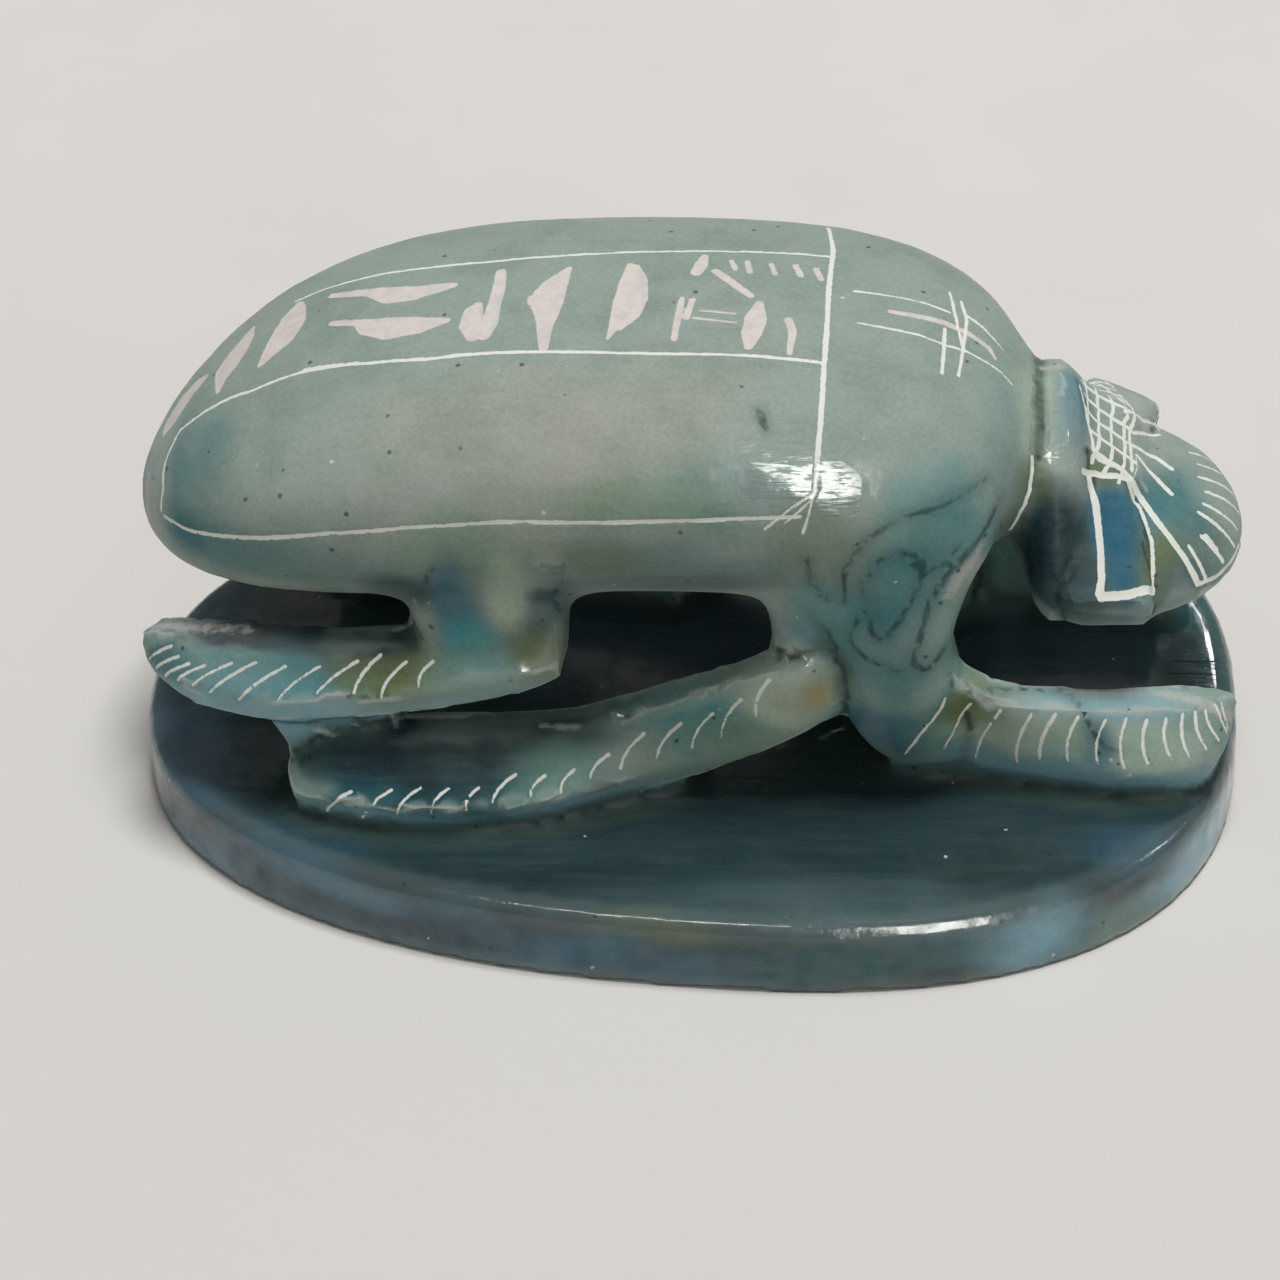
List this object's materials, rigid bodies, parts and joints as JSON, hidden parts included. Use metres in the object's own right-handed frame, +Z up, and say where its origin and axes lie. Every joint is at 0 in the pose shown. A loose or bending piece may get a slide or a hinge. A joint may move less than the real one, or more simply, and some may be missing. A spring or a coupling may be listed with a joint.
{
  "type": "souvenir scarab paperweight",
  "caption": "Carved and glazed stone scarab beetle standing on its oval plate, with legs cut free and white scratched ornament.",
  "frame": {"origin": "middle of the plate's underside, on the surface that the object stands on", "axes": "+X from the tail to the head, along the plate; +Y to the beetle's left; +Z up through the back"},
  "size_m": [0.1, 0.0688, 0.0498],
  "materials": {
    "glazed_stone": "soft stone under a glossy blue-green glaze, with white filled scratches"
  },
  "bodies": {
    "root": {"scarab": "glazed_stone"}
  },
  "joints": []
}
